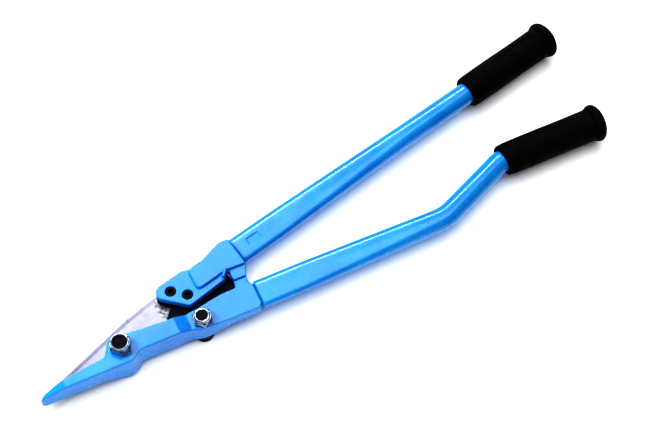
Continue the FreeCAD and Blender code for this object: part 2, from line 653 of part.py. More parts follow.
def drive_plate():
    body = new_body("drive_plate")
    sweep = size("plate_sweep")
    travel = size("open_angle")
    drop = LEVER.y - size("slot_floor_y") - 0.4
    last = math.degrees(math.asin(drop / sweep)) + 180 - travel
    arc_low = polar(LEVER, sweep, last)
    arc_high = polar(LEVER, sweep, 126.5)
    arc_mid = polar(LEVER, sweep, (last + 126.5) / 2)
    hub = size("hub_radius")
    hub_left = polar(LEVER, hub, 180 - travel + math.degrees(math.asin(drop / hub)))
    hub_low = polar(LEVER, hub, -100)
    hub_right = polar(LEVER, hub, -35)
    corners = [
        (arc_low.x, arc_low.y, 0),
        (arc_high.x, arc_high.y, 0),
        (41.6, 39.4, 7.0),
        (80.0, 47.6, 6.0),
        (104.0, 44.0, 8.0),
        (119.0, 34.5, 4.0),
        (123.4, 24.0, 5.0),
        (121.4, 14.0, 4.0),
        (hub_right.x, hub_right.y, 0),
        (hub_left.x, hub_left.y, 0),
    ]
    side = outline(corners, {0: (arc_mid.x, arc_mid.y), 8: (hub_low.x, hub_low.y)})
    pad(body, draw(body, "plate_side", "XY_Plane", side, "Sizes.plate_front - Sizes.plate_thick"),
        "Sizes.plate_thick")
    eye = "Sizes.lever_bolt + 2 * Sizes.hole_play + 2 * Sizes.bush_wall"
    pocket(body, circle_sketch(body, "plate_eye", LEVER, eye, "0"))
    pin = polar(LEVER, size("pin_reach"), size("pin_angle"))
    pocket(body, circle_sketch(body, "pin_seat", pin, "Sizes.pin_diameter", "Sizes.plate_front - 1"), "20")
    for index, place in enumerate(PLATE_SCREWS):
        pocket(body, circle_sketch(body, f"plate_thread{index}", place, "Sizes.plate_screw", "0"))
    return body


def lever_fittings():
    outer = cylinder("lever_bush_outer", LEVER, "Sizes.plate_front - Sizes.plate_thick",
                     "Sizes.lever_bolt + 2 * Sizes.hole_play + 2 * Sizes.bush_wall", "Sizes.plate_thick")
    bore = cylinder("lever_bush_bore", LEVER, "-60", "Sizes.lever_bolt + 2 * Sizes.hole_play", "80")
    finish(boolean("Cut", "lever_bush", outer, bore), "lever_bush")
    pin = polar(LEVER, size("pin_reach"), size("pin_angle"))
    rod = cylinder("drive_pin_rod", pin, "Sizes.blade_front - Sizes.blade_thick + 0.2", "Sizes.pin_diameter",
                   "Sizes.plate_front - Sizes.blade_front + Sizes.blade_thick - 1.2")
    doc.recompute()
    finish(rounded("drive_pin", rod, rim_edges(rod.Shape, size("pin_diameter") / 2), 0.4), "drive_pin")
    solids = []
    for index, place in enumerate(PLATE_SCREWS):
        bottom = "Sizes.head_front - 0.4 - Sizes.plate_screw"
        cap = cylinder(f"plate_screw_cap{index}", place, bottom, "Sizes.plate_screw_head",
                       "Sizes.plate_screw")
        shank = cylinder(f"plate_screw_shank{index}", place, "Sizes.plate_front - Sizes.plate_thick",
                         "Sizes.plate_screw", f"{bottom} - Sizes.plate_front + Sizes.plate_thick + 1")
        whole = boolean("Fuse", f"plate_screw_whole{index}", cap, shank)
        socket = hexagon(f"plate_screw_socket{index}", place, f"{bottom} + Sizes.plate_screw / 2", "5",
                         "Sizes.plate_screw", 10 + 25 * index)
        keyed = boolean("Cut", f"plate_screw_keyed{index}", whole, socket)
        doc.recompute()
        solids.append(rounded(f"plate_screw{index}", keyed,
                              rim_edges(keyed.Shape, size("plate_screw_head") / 2), 0.5))
    group = doc.addObject("Part::Compound", "drive_plate_screws")
    group.Links = solids
    finish(group, "drive_plate_screws")


# ---------------------------------------------------------------- handles


def tube_section(name, place, wide, thick, direction):
    """Ellipse across the tube: its long axis lies in the plane of the tool."""
    turn = math.radians(direction)
    axis = Vector(math.cos(turn), math.sin(turn), 0)
    across = Vector(-math.sin(turn), math.cos(turn), 0)
    ring = doc.addObject("Part::Ellipse", name)
    ring.Placement = Placement(place, Rotation(across, Vector(0, 0, 1), axis, "XYZ"))
    ring.setExpression("MajorRadius", f"({wide}) / 2")
    ring.setExpression("MinorRadius", f"({thick}) / 2")
    return ring


def tube_solid(name, points, direction, wall, path):
    """Flattened end, taper and round run of a tube, with this much wall taken off."""
    start, tang_end, round_from = points
    less = f" - 2 * {wall}" if wall else ""
    flat = ("Sizes.flat_wide" + less, "Sizes.flat_thick" + less)
    plain = ("Sizes.tube_diameter" + less, "Sizes.tube_diameter" + less)
    rings = [tube_section(f"{name}_{index}", place, *shape, direction)
             for index, (place, shape) in enumerate(((start, flat), (tang_end, flat), (round_from, plain)))]
    loft = doc.addObject("Part::Loft", name + "_taper")
    loft.Sections = rings
    loft.Solid = True
    loft.Ruled = True
    line = doc.addObject("Part::Feature", name + "_line")
    line.Shape = path
    section = tube_section(name + "_run_ring", round_from, *plain, direction)
    run = doc.addObject("Part::Sweep", name + "_run")
    run.Sections = [section]
    run.Spine = (line, [f"Edge{number}" for number in range(1, len(path.Edges) + 1)])
    run.Solid = True
    run.Frenet = False
    return boolean("Fuse", name, loft, run)


def bent_line(points, radii):
    """Straight runs joined by tangent arcs."""
    edges = []
    cursor = points[0]
    for index, radius in enumerate(radii, start=1):
        corner = points[index]
        before = (points[index - 1] - corner).normalize()
        after = (points[index + 1] - corner).normalize()
        half = before.getAngle(after) / 2
        setback = radius / math.tan(half)
        middle = corner + (before + after).normalize() * (radius / math.sin(half) - radius)
        edges.append(Part.LineSegment(cursor, corner + before * setback).toShape())
        edges.append(Part.Arc(corner + before * setback, middle, corner + after * setback).toShape())
        cursor = corner + after * setback
    edges.append(Part.LineSegment(cursor, points[-1]).toShape())
    return Part.Wire(edges)


def handle_tube(label, points, direction, path, extras=()):
    outer = tube_solid(label + "_outer", points, direction, None, path)
    inner = tube_solid(label + "_inner", points, direction, "Sizes.tube_wall", path)
    return finish(boolean("Cut", label, outer, inner, *extras), label)


def lock_pin(label, place):
    """Pin through the back of the tube into the tang; it stops inside the front of the tang."""
    rod = cylinder(label + "_rod", place, "Sizes.handle_level - Sizes.flat_thick / 2 + 0.1", "Sizes.lock_pin",
                   "(Sizes.flat_thick + Sizes.tang_thick) / 2 - 0.6")
    doc.recompute()
    finish(rounded(label, rod, rim_edges(rod.Shape, size("lock_pin") / 2), 0.4), label)


def handles():
    level = Vector(0, 0, size("handle_level"))
    start = Vector(size("socket_end_x") + 0.2, 0, 0) + level
    tang = Vector(size("tang_length"), 0, 0)
    taper = Vector(size("taper_length") - 24, 0, 0)
    grip_y = size("grip_offset")
    tube_end = size("lower_grip_x") + size("grip_length") - 8
    path = bent_line([start + taper, Vector(size("bend_start_x"), 0, 0) + level,
                      Vector(size("bend_end_x"), grip_y, 0) + level, Vector(tube_end, grip_y, 0) + level],
                     [size("bend_radius"), size("grip_bend_radius")])
    pin_at = Vector(size("socket_end_x") + 25, 0, 0)
    hole = cylinder("lower_tube_pin_hole", pin_at, "-40", "Sizes.lock_pin", "28")
    handle_tube("lower_handle_tube", (start, start + tang, start + taper), 0, path, [hole])
    lock_pin("lower_handle_pin", pin_at)

    points = [along_handle(reach) + level for reach in (0.2, size("tang_length"), size("taper_length"),
                                                         size("upper_grip_reach") + size("grip_length") - 8)]
    path = Part.Wire([Part.LineSegment(points[2], points[3]).toShape()])
    hole = cylinder("upper_tube_pin_hole", along_handle(36), "-40", "Sizes.lock_pin", "28")
    mark = doc.addObject("Part::Box", "crimp_mark")
    mark.Length = 15
    mark.Width = 7
    mark.Height = 4
    corner = along_handle(14.5, -3.5) + level + Vector(0, 0, size("flat_thick") / 2 - 0.9)
    mark.Placement = Placement(corner, Rotation(Vector(0, 0, 1), TILT))
    handle_tube("upper_handle_tube", points[:3], TILT, path, [hole, mark])
    lock_pin("upper_handle_pin", along_handle(36))

    grip("lower_grip", Vector(size("lower_grip_x"), grip_y, 0) + level, 0)
    grip("upper_grip", along_handle(size("upper_grip_reach")) + level, TILT)


def grip(label, mouth, direction):
    """Closed rubber grip, turned about the handle axis: bell mouth, rounded flange and domed end."""
    body = new_body(label)
    radius = size("grip_diameter") / 2
    flange = size("grip_flange") / 2
    length = size("grip_length")
    bore = size("tube_diameter") / 2 + 0.02
    bell = bore + 0.6
    sides = outline([(0, bell, 0), (0, radius - 0.6, 2.6), (8, radius, 12.0), (length - 9.4, radius, 0.7),
                     (length - 8.6, flange, 2.7), (length + 0.4, flange, 5.2), (length + 2.4, 0, 0),
                     (length - 7.9, 0, 0), (length - 7.9, bore, 0), (4.5, bore, 0)])
    sketch = draw(body, label + "_half", "XY_Plane", sides)
    spin = body.newObject("PartDesign::Revolution", label + "_turned")
    spin.Profile = sketch
    spin.ReferenceAxis = (sketch, ["H_Axis"])
    spin.Angle = 360
    body.Placement = Placement(mouth, Rotation(Vector(0, 0, 1), direction))
    doc.recompute()
    return body


# ---------------------------------------------------------------- build, check and write

lower_jaw()
fixed_blade()
fixed_blade_screws()
pivots()
upper_head()
drive_plate()
lever_fittings()
moving_blade()
blade_bush()
handles()
doc.recompute()

whole = Part.makeCompound([part.Shape for part in PARTS])
box = whole.optimalBoundingBox(False, False)
shift = Vector(-box.Center.x, -box.Center.y, -box.ZMin)
for part in PARTS:
    shape = part.Shape
    if shape.isNull() or not shape.isValid() or not shape.Solids:
        raise RuntimeError(f"{part.Label}: bad shape")
for item in doc.Objects:
    if "Invalid" in item.State or "Error" in item.State:
        raise RuntimeError(f"{item.Name}: {item.State}")
for part in PARTS:
    part.Placement = Placement(shift, Rotation()).multiply(part.Placement)
    part.recompute()
    print(part.Label, len(part.Shape.Solids), round(part.Shape.Volume, 1))
    part.Shape.exportStep(f"parts/{part.Label}.step")
print("shift", shift, "size", box.XLength, box.YLength, box.ZLength)
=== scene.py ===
import json
import math

import bmesh
import bpy
from mathutils import Matrix, Vector, noise
from mathutils.bvhtree import BVHTree


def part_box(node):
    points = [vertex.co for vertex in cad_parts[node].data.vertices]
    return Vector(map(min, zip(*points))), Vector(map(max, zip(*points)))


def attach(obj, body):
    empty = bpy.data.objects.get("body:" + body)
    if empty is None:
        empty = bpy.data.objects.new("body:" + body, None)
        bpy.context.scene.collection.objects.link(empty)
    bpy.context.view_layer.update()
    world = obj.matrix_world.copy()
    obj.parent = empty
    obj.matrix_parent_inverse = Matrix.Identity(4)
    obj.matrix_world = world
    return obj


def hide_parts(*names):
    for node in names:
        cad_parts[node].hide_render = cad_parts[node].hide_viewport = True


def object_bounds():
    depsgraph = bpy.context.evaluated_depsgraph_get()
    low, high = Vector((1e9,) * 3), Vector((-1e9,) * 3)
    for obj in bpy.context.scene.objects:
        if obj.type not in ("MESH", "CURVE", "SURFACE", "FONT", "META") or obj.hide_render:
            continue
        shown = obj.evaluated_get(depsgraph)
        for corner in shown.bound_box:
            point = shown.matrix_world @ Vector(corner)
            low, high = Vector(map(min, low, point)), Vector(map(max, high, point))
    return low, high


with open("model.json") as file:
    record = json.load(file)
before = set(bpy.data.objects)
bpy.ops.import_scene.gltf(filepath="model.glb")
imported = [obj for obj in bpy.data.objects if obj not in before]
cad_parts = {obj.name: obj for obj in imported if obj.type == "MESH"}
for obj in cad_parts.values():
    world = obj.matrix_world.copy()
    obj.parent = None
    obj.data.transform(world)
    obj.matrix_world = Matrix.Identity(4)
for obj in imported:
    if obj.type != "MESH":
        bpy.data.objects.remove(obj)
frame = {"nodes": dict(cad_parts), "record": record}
cad_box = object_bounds()

# Looks for a compound-lever strap shear that lies on its side with the nuts up.
#
# Lengths below are in millimetres in the tool's own axes: X and Y from the blade pivot, X along the
# lower handle and Y away from the sole, and Z from the front face of the jaw. place() turns them
# into metres in the frame.

MM = 0.001
JOINTS = {joint["name"]: joint for joint in frame["record"]["behaviour"]["joints"]}
PIVOT = Vector((*JOINTS["blade_pivot"]["pos_m"][:2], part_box("lower_jaw")[1].z))

HANDLE_ANGLE = math.radians(13.56)
HANDLE_LEVEL = -12.0

# Both tubes: drawn size, flattened size over the tang, and the gap that shows the tang at the mouth.
TUBE = 22.2
WALL = 1.8
FLAT_WIDE, FLAT_THICK = 28.4, 13.6
TANG = 45.0
MOUTH_GAP = 0.8

# Lower tube: straight, then two bends that carry it over to the grip.
LOWER_START = 138.7
BEND_START, BEND_END = 338.5, 415.0
BEND_RADIUS, GRIP_BEND = 50.0, 26.0
GRIP_OFFSET = 33.5
LOWER_END = 518.0
LOWER_TAPER = 181.0

# Upper tube: straight, with a pressed rectangle over its tang.
UPPER_START = (137.0, 49.9)
UPPER_LENGTH = 391.0
UPPER_TAPER = 205.0
CRIMP_AT = 22.0
CRIMP_HALF_LONG, CRIMP_HALF_WIDE = 6.6, 2.9
CRIMP_DEPTH, CRIMP_EDGE = 1.0, 0.7

# Grips: where each mouth is, how long the sleeve is, and how much of the lower one lies on the bend.
LOWER_GRIP_X, LOWER_GRIP_LENGTH, LOWER_GRIP_CURL = 416.5, 109.8, 3.9
UPPER_GRIP_REACH, UPPER_GRIP_LENGTH = 290.3, 108.8


def place(x, y, z):
    return PIVOT + Vector((x, y, z)) * MM


# ---------------------------------------------------------------- node materials


class Nodes:
    """A material's node tree, with short calls for the nodes that the finishes share."""

    def __init__(self, name):
        self.material = bpy.data.materials.new(name)
        self.material.use_nodes = True
        self.tree = self.material.node_tree
        self.shader = self.tree.nodes["Principled BSDF"]
        self.position = self.tree.nodes.new("ShaderNodeTexCoord").outputs["Object"]

    def link(self, source, target):
        self.tree.links.new(source, target)

    def under(self, value, limit, soft=0.0003):
        """1 where the value is under the limit, 0 above it, with a soft edge."""
        step = self.tree.nodes.new("ShaderNodeMapRange")
        step.inputs["From Min"].default_value = limit
        step.inputs["From Max"].default_value = limit - soft
        self.link(value, step.inputs["Value"])
        return step.outputs["Result"]

    def in_recess(self, centre, radius):
        """1 in a round recess: close to its axis and lower than its middle point, at rest."""
        split = self.tree.nodes.new("ShaderNodeSeparateXYZ")
        self.link(self.position, split.inputs[0])
        reach = self.tree.nodes.new("ShaderNodeVectorMath")
        reach.operation = "DISTANCE"
        reach.inputs[1].default_value = (centre.x, centre.y, 0)
        self.link(self.coords((1, 1, 0)), reach.inputs[0])
        return self.mix(1.0, self.under(split.outputs["Z"], centre.z),
                        self.under(reach.outputs["Value"], radius), "MULTIPLY")

    def coords(self, scale, turn=0.0):
        """Object position times a scale for each axis, after a turn about Z."""
        mapping = self.tree.nodes.new("ShaderNodeMapping")
        mapping.vector_type = "POINT"
        mapping.inputs["Rotation"].default_value = (0, 0, turn)
        mapping.inputs["Scale"].default_value = scale
        self.link(self.position, mapping.inputs["Vector"])
        return mapping.outputs["Vector"]

    def noise(self, scale, detail=4.0, roughness=0.55, coords=None):
        node = self.tree.nodes.new("ShaderNodeTexNoise")
        node.inputs["Scale"].default_value = scale
        node.inputs["Detail"].default_value = detail
        node.inputs["Roughness"].default_value = roughness
        self.link(coords or self.position, node.inputs["Vector"])
        return node.outputs["Fac"]

    def cells(self, scale, coords=None):
        node = self.tree.nodes.new("ShaderNodeTexVoronoi")
        node.inputs["Scale"].default_value = scale
        self.link(coords or self.position, node.inputs["Vector"])
        return node.outputs["Distance"]

    def ramp(self, factor, *stops):
        """Colour or grey stops (place, value)."""
        node = self.tree.nodes.new("ShaderNodeValToRGB")
        elements = node.color_ramp.elements
        while len(elements) < len(stops):
            elements.new(0.5)
        for element, (where, value) in zip(elements, stops):
            element.position = where
            element.color = (*value, 1) if isinstance(value, tuple) else (value, value, value, 1)
        self.link(factor, node.inputs["Fac"])
        return node.outputs["Color"]

    def mix(self, factor, first, second, kind="MIX"):
        node = self.tree.nodes.new("ShaderNodeMix")
        node.data_type = "RGBA"
        node.blend_type = kind
        for value, socket in ((factor, node.inputs[0]), (first, node.inputs[6]), (second, node.inputs[7])):
            if isinstance(value, bpy.types.NodeSocket):
                self.link(value, socket)
            elif isinstance(value, tuple):
                socket.default_value = (*value, 1)
            else:
                socket.default_value = value
        return node.outputs[2]

    def pointiness(self, low, high):
        """0 where the surface is hollower than low (0.5 is flat), 1 where it stands out more than high."""
        geometry = self.tree.nodes.new("ShaderNodeNewGeometry")
        return self.ramp(geometry.outputs["Pointiness"], (low, 0.0), (high, 1.0))

    def bump(self, height, distance):
        node = self.tree.nodes.new("ShaderNodeBump")
        node.inputs["Strength"].default_value = 1.0
        node.inputs["Distance"].default_value = distance
        self.link(height, node.inputs["Height"])
        return node.outputs["Normal"]

    def set(self, **sockets):
        """Shader sockets by name: numbers are set on the socket itself, node outputs are linked."""
        for name, value in sockets.items():
            socket = self.shader.inputs[name.replace("_", " ")]
            if isinstance(value, bpy.types.NodeSocket):
                self.link(value, socket)
            elif isinstance(value, tuple):
                socket.default_value = (*value, 1)
            else:
                socket.default_value = value
        return self.material


def enamel(name, colour, deep, pale, peel):
    """Gloss stoving enamel: slow shifts of shade, orange peel, edges paler from thinner paint and a painted
    highlight, and painted shade deep in the hollows.
    """
    nodes = Nodes(name)
    drift = nodes.ramp(nodes.noise(18, 3), (0.35, deep), (0.5, colour), (0.68, pale))
    speckle = nodes.ramp(nodes.noise(900, 2), (0.42, 0.93), (0.6, 1.0))
    shade = nodes.mix(1.0, drift, speckle, "MULTIPLY")
    # Paler edges: partly thinner paint on convex edges, partly a painted highlight along them.
    edges = nodes.pointiness(0.58, 0.74)
    shade = nodes.mix(edges, shade, nodes.mix(0.2, shade, (0.4, 0.75, 1.0)))
    # Painted shade: hollows and fillets are darkened to a deep navy, standing in for the shade in creases and
    # under steps.
    shade = nodes.mix(nodes.pointiness(0.4, 0.47), tuple(c * 0.35 for c in deep), shade)
    peel_height = nodes.mix(0.35, nodes.noise(420, 2, 0.5), nodes.noise(1600, 2, 0.5))
    rough = nodes.ramp(nodes.noise(60, 4), (0.3, 0.2), (0.7, 0.32))
    return nodes.set(Base_Color=shade, Roughness=rough, Normal=nodes.bump(peel_height, peel),
                     Coat_Weight=0.25, Coat_Roughness=0.12, Specular_IOR_Level=0.35)


def ground_steel(name, colour, grain_scale, turn, recess=None):
    """Surface-ground tool steel: fine grain, cloudy tone, dark pits, and dark blotches in a recess."""
    nodes = Nodes(name)
    grain = nodes.noise(1.0, 3, 0.6, nodes.coords(grain_scale, turn))
    cloud = nodes.noise(70, 5, 0.6)
    tone = nodes.ramp(nodes.mix(0.45, grain, cloud), (0.36, tuple(c * 0.72 for c in colour)),
                      (0.52, colour), (0.66, tuple(min(1.0, c * 1.1) for c in colour)))
    pits = nodes.ramp(nodes.noise(1100, 2, 0.7), (0.3, 0.45), (0.4, 1.0))
    shade = nodes.mix(1.0, tone, pits, "MULTIPLY")
    if recess:
        # Darker blotches inside the milled recess on the blade's shoulder.
        recess_blotches = nodes.ramp(nodes.noise(420, 4, 0.7), (0.4, (0.05, 0.06, 0.07)), (0.6, (0.4, 0.42, 0.44)))
        shade = nodes.mix(nodes.in_recess(*recess), shade, recess_blotches)
    rough = nodes.ramp(grain, (0.3, 0.34), (0.7, 0.5))
    return nodes.set(Base_Color=shade, Metallic=0.85, Roughness=rough, Normal=nodes.bump(grain, 0.00004))


def black_oxide(name, colour, sheen):
    """Oiled black oxide: nearly black, with browner rubbed edges and an uneven oil film."""
    nodes = Nodes(name)
    film = nodes.noise(260, 4)
    shade = nodes.ramp(film, (0.3, colour), (0.75, tuple(c * 1.8 for c in colour)))
    shade = nodes.mix(nodes.pointiness(0.55, 0.7), shade, (0.03, 0.03, 0.035))
    rough = nodes.ramp(film, (0.3, sheen), (0.7, sheen + 0.18))
    return nodes.set(Base_Color=shade, Metallic=0.1, Roughness=rough, Specular_IOR_Level=0.15,
                     Normal=nodes.bump(nodes.noise(1500, 2), 0.00003))


def bright_plate(name):
    """Bright zinc plate on a forged nut."""
    nodes = Nodes(name)
    cloud = nodes.noise(240, 4)
    shade = nodes.ramp(cloud, (0.38, (0.12, 0.16, 0.21)), (0.58, (0.44, 0.49, 0.56)))
    rough = nodes.ramp(nodes.noise(700, 3), (0.35, 0.1), (0.7, 0.3))
    return nodes.set(Base_Color=shade, Metallic=1.0, Roughness=rough,
                     Normal=nodes.bump(nodes.noise(520, 3), 0.00012))


def nylon(name):
    nodes = Nodes(name)
    grain = nodes.noise(900, 3)
    shade = nodes.ramp(grain, (0.3, (0.002, 0.002, 0.008)), (0.7, (0.006, 0.006, 0.016)))
    rough = nodes.ramp(nodes.noise(200, 2), (0.3, 0.42), (0.7, 0.6))
    return nodes.set(Base_Color=shade, Roughness=rough, Normal=nodes.bump(grain, 0.00003),
                     Specular_IOR_Level=0.25)


def bronze(name):
    nodes = Nodes(name)
    turned = nodes.noise(1.0, 2, 0.5, nodes.coords((300, 300, 5000)))
    shade = nodes.ramp(turned, (0.3, (0.45, 0.27, 0.1)), (0.7, (0.72, 0.48, 0.2)))
    rough = nodes.ramp(nodes.noise(300, 3), (0.3, 0.28), (0.7, 0.45))
    return nodes.set(Base_Color=shade, Metallic=1.0, Roughness=rough, Normal=nodes.bump(turned, 0.00002))


def grip_rubber(name):
    """Matt moulded rubber with a fine pebbled skin."""
    nodes = Nodes(name)
    pebble = nodes.cells(850)
    fine = nodes.noise(2600, 2)
    skin = nodes.mix(0.3, nodes.ramp(pebble, (0.05, 1.0), (0.6, 0.0)), fine)
    shade = nodes.ramp(nodes.noise(160, 4), (0.3, (0.001, 0.001, 0.002)), (0.7, (0.003, 0.003, 0.005)))
    rough = nodes.ramp(nodes.noise(90, 3), (0.3, 0.62), (0.7, 0.82))
    return nodes.set(Base_Color=shade, Roughness=rough, Normal=nodes.bump(skin, 0.00012),
                     Specular_IOR_Level=0.12)


def floor_finish(name):
    nodes = Nodes(name)
    shade = nodes.ramp(nodes.noise(3, 4), (0.3, (0.86, 0.87, 0.88)), (0.7, (0.9, 0.9, 0.9)))
    return nodes.set(Base_Color=shade, Roughness=0.9, Specular_IOR_Level=0.1)


CAST_BLUE = enamel("cast_blue", (0.013, 0.31, 0.84), (0.01, 0.27, 0.79), (0.018, 0.35, 0.89), 0.00012)
TUBE_BLUE = enamel("tube_blue", (0.012, 0.34, 0.86), (0.01, 0.3, 0.81), (0.018, 0.39, 0.9), 0.00005)
# The milled step on the blade's shoulder: its middle, just under the blade's face, and its radius.
STEP_MIDDLE = Vector((*place(69.5, 28, 0).xy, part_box("moving_blade")[1].z - 0.0003))
MILLED_STEP = (STEP_MIDDLE, 0.0245)
BLADE_STEEL = ground_steel("ground_blade", (0.28, 0.28, 0.39), (90, 2600, 2600), 0.5, MILLED_STEP)
STRIP_STEEL = ground_steel("ground_strip", (0.28, 0.28, 0.39), (90, 2600, 2600), 0.0)
PIN_STEEL = ground_steel("pin_steel", (0.7, 0.7, 0.74), (2000, 2000, 200), 0.0)
OXIDE = black_oxide("black_oxide", (0.002, 0.002, 0.009), 0.4)
PLATE_OXIDE = black_oxide("black_oxide_plate", (0.003, 0.003, 0.008), 0.45)
BRIGHT = bright_plate("bright_zinc")
NYLON = nylon("black_nylon")
BRONZE = bronze("turned_bronze")
RUBBER = grip_rubber("grip_rubber")

NODE_FINISH = {
    "fixed_blade": STRIP_STEEL,
    "moving_blade": BLADE_STEEL,
    "fixed_blade_screws": OXIDE,
    "blade_pivot_bolt": OXIDE,
    "lever_pivot_bolt": OXIDE,
    "drive_plate_screws": OXIDE,
    "lower_handle_pin": OXIDE,
    "upper_handle_pin": OXIDE,
    "drive_plate": PLATE_OXIDE,
    "blade_pivot_nut": BRIGHT,
    "lever_pivot_nut": BRIGHT,
    "blade_pivot_nut_insert": NYLON,
    "lever_pivot_nut_insert": NYLON,
    "blade_thrust_washer": BRONZE,
    "lever_pivot_spacer": BRONZE,
    "lever_bush": BRONZE,
    "blade_bush": BRONZE,
    "drive_pin": PIN_STEEL,
}

# ---------------------------------------------------------------- mesh helpers


def make_piece(name, mesh, body, material, node):
    """A finished piece: on a body, with a finish, in place of this CAD node."""
    piece = bpy.data.objects.new(name, mesh)
    bpy.context.scene.collection.objects.link(piece)
    mesh.materials.clear()
    mesh.materials.append(material)
    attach(piece, body)
    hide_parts(node)
    return piece


def evaluated_mesh(thing):
    bpy.context.view_layer.update()
    return bpy.data.meshes.new_from_object(thing.evaluated_get(bpy.context.evaluated_depsgraph_get()))


def shade_smooth(mesh, angle=None):
    mesh.polygons.foreach_set("use_smooth", [True] * len(mesh.polygons))
    if angle:
        mesh.set_sharp_from_angle(angle=math.radians(angle))


def round_nose(mesh, reach, keep):
    """Rounds the end that points to -X, reach long, down to this share of its width and thickness."""
    tip = min(vertex.co.x for vertex in mesh.vertices)
    end = [vertex.co for vertex in mesh.vertices if vertex.co.x < tip + 0.1 * reach]
    middle = [(min(co[axis] for co in end) + max(co[axis] for co in end)) / 2 for axis in range(3)]
    for vertex in mesh.vertices:
        along = (vertex.co.x - tip) / reach
        if along < 1:
            share = keep + (1 - keep) * math.sqrt(1 - (1 - along) ** 2)
            for axis in (1, 2):
                vertex.co[axis] = middle[axis] + (vertex.co[axis] - middle[axis]) * share


def keep_clear(mesh, node, joint, opening, gap):
    """Moves a skin's points that this node passes through, or passes closer than the gap, back out.

    The node is followed through its joint's whole opening, in steps of two degrees."""
    tree = BVHTree.FromObject(frame["nodes"][node], bpy.context.evaluated_depsgraph_get())
    low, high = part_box(node)
    hinge = Vector(JOINTS[joint]["pos_m"])
    near = [v for v in mesh.vertices if low.z - gap < v.co.z < high.z + gap]
    for degrees in range(0, opening + 1, 2):
        turn = Matrix.Rotation(math.radians(degrees), 3, "Z")
        for vertex in near:
            point = (vertex.co - hinge) @ turn + hinge
            nearest, normal, _, distance = tree.find_nearest(point, 5 * gap)
            if nearest is None:
                continue
            inside = (point - nearest).dot(normal) < 0
            if inside or distance < gap:
                away = normal if inside else (point - nearest).normalized()
                vertex.co = turn @ (nearest + away * gap - hinge) + hinge


def cast_skin(name, node, body, material, voxel, rounds, nose=None, clear_of=None):
    """The node's solid with the soft corners and fillets of a painted casting."""
    source = frame["nodes"][node]
    blank = bpy.data.objects.new(name + "_blank", source.data.copy())
    bpy.context.scene.collection.objects.link(blank)
    remesh = blank.modifiers.new("even", "REMESH")
    remesh.mode = "VOXEL"
    remesh.voxel_size = voxel
    smooth = blank.modifiers.new("soften", "SMOOTH")
    smooth.factor = 0.5
    smooth.iterations = rounds
    mesh = evaluated_mesh(blank)
    bpy.data.objects.remove(blank)
    if nose:
        round_nose(mesh, *nose)
    if clear_of:
        keep_clear(mesh, *clear_of)
    shade_smooth(mesh)
    return make_piece(name, mesh, body, material, node)


def bevelled(node, width):
    """Keeps a machined node's shape and breaks its edges."""
    thing = frame["nodes"][node]
    weld = thing.modifiers.new("weld", "WELD")
    weld.merge_threshold = 0.000002
    bevel = thing.modifiers.new("edges", "BEVEL")
    bevel.width = width
    bevel.segments = 3
    bevel.limit_method = "ANGLE"
    bevel.angle_limit = math.radians(28)
    bevel.harden_normals = True


# ---------------------------------------------------------------- castings

cast_skin("lower_jaw_casting", "lower_jaw", "lower_arm", CAST_BLUE, 0.00056, 5,
          nose=(0.006, 0.45), clear_of=("drive_plate", "lever_pivot", 34, 0.0004))
cast_skin("upper_head_casting", "upper_head", "upper_lever", CAST_BLUE, 0.0004, 8)

# ---------------------------------------------------------------- tubes


def bent_route(points, radii, step):
    """(point, direction, distance) along straight runs joined by tangent arcs, in the XY plane."""
    stations = [(points[0], (points[1] - points[0]).normalized(), 0.0)]

    def advance(point, direction):
        last_point, last_direction, travelled = stations[-1]
        stations.append((point, direction, travelled + (point - last_point).length))

    def run_to(end):
        start = stations[-1][0]
        pieces = max(1, round((end - start).length / step))
        for index in range(1, pieces + 1):
            advance(start.lerp(end, index / pieces), (end - start).normalized())

    for index, radius in enumerate(radii, start=1):
        corner = points[index]
        before = (corner - points[index - 1]).normalized()
        after = (points[index + 1] - corner).normalized()
        turn = before.xy.angle_signed(after.xy) * -1
        setback = radius * math.tan(abs(turn) / 2)
        run_to(corner - before * setback)
        side = math.copysign(1.0, turn)
        centre = stations[-1][0] + Vector((-before.y, before.x, 0)) * radius * side
        spoke = stations[-1][0] - centre
        pieces = max(6, round(abs(turn) * radius / 1.2))
        for count in range(1, pieces + 1):
            spin = Matrix.Rotation(turn * count / pieces, 3, "Z")
            advance(centre + spin @ spoke, spin @ before)
    run_to(points[-1])
    return stations


def section(centre, direction, wide, thick, power, count):
    """Superellipse ring across the tube: power 2 is an ellipse, more is squarer."""
    across = Vector((-direction.y, direction.x, 0))
    ring = []
    for index in range(count):
        angle = 2 * math.pi * index / count
        c, s = math.cos(angle), math.sin(angle)
        u = math.copysign(abs(c) ** (2 / power), c) * wide / 2
        w = math.copysign(abs(s) ** (2 / power), s) * thick / 2
        ring.append(centre + across * u + Vector((0, 0, w)))
    return ring


def blend_in(distance, start, end):
    """0 before start, 1 after end, smooth between."""
    share = min(1.0, max(0.0, (distance - start) / (end - start)))
    return share * share * (3 - 2 * share)


def tube_shape(distance, taper_end, wall=0.0):
    """(wide, thick, power) of the tube this far from its flattened end."""
    share = min(1.0, max(0.0, (distance - TANG) / (taper_end - TANG)))
    wide = FLAT_WIDE + (TUBE - FLAT_WIDE) * share
    thick = FLAT_THICK + (TUBE - FLAT_THICK) * share
    power = 2.0 + 1.1 * (1 - blend_in(distance, TANG, taper_end * 1.6))
    return wide - 2 * wall, thick - 2 * wall, power


def skin_rings(rings):
    """Closed mesh through rings of equal count: the last joins the first."""
    mesh = bmesh.new()
    rows = [[mesh.verts.new(point) for point in ring] for ring in rings]
    count = len(rows[0])
    for row, following in zip(rows, rows[1:] + rows[:1]):
        for index in range(count):
            after = (index + 1) % count
            mesh.faces.new((row[index], row[after], following[after], following[index]))
    bmesh.ops.recalc_face_normals(mesh, faces=mesh.faces)
    return mesh


